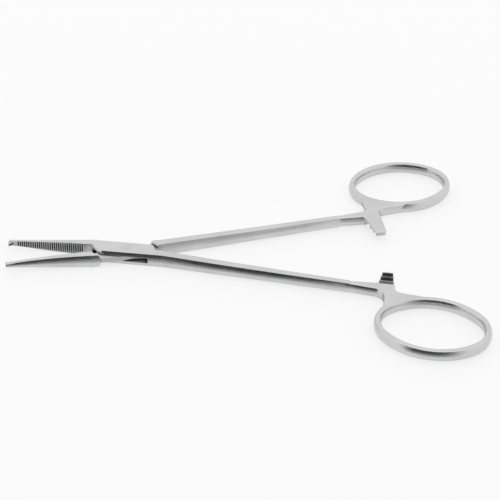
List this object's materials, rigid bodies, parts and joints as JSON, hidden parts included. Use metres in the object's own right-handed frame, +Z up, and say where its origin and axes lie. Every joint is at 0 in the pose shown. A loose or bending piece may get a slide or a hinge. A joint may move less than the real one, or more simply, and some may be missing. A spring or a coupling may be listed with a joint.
{
  "type": "hemostat forceps",
  "caption": "Straight locking haemostatic forceps with a box lock, cross-serrated jaws with interlocking tip teeth, oval finger rings and a ratchet.",
  "frame": {"origin": "centre of the pivot pin, on the flat underside of the box lock", "axes": "+X along the instrument from the pin to the finger rings, +Y towards the tongue half's ring, +Z up along the pivot pin"},
  "size_m": [0.1199, 0.0906, 0.0035],
  "materials": {
    "instrument_steel": "satin",
    "pin_steel": "satin"
  },
  "bodies": {
    "box_side": {"box_half": "instrument_steel", "pivot_pin": "pin_steel"},
    "tongue_side": {"tongue_half": "instrument_steel"}
  },
  "joints": [
    {"name": "box_lock", "type": "hinge", "parent": "box_side", "child": "tongue_side", "pos_m": [0, 0, 0], "axis": [0, 0, 1], "range_deg": [-17.8, 52]}
  ]
}
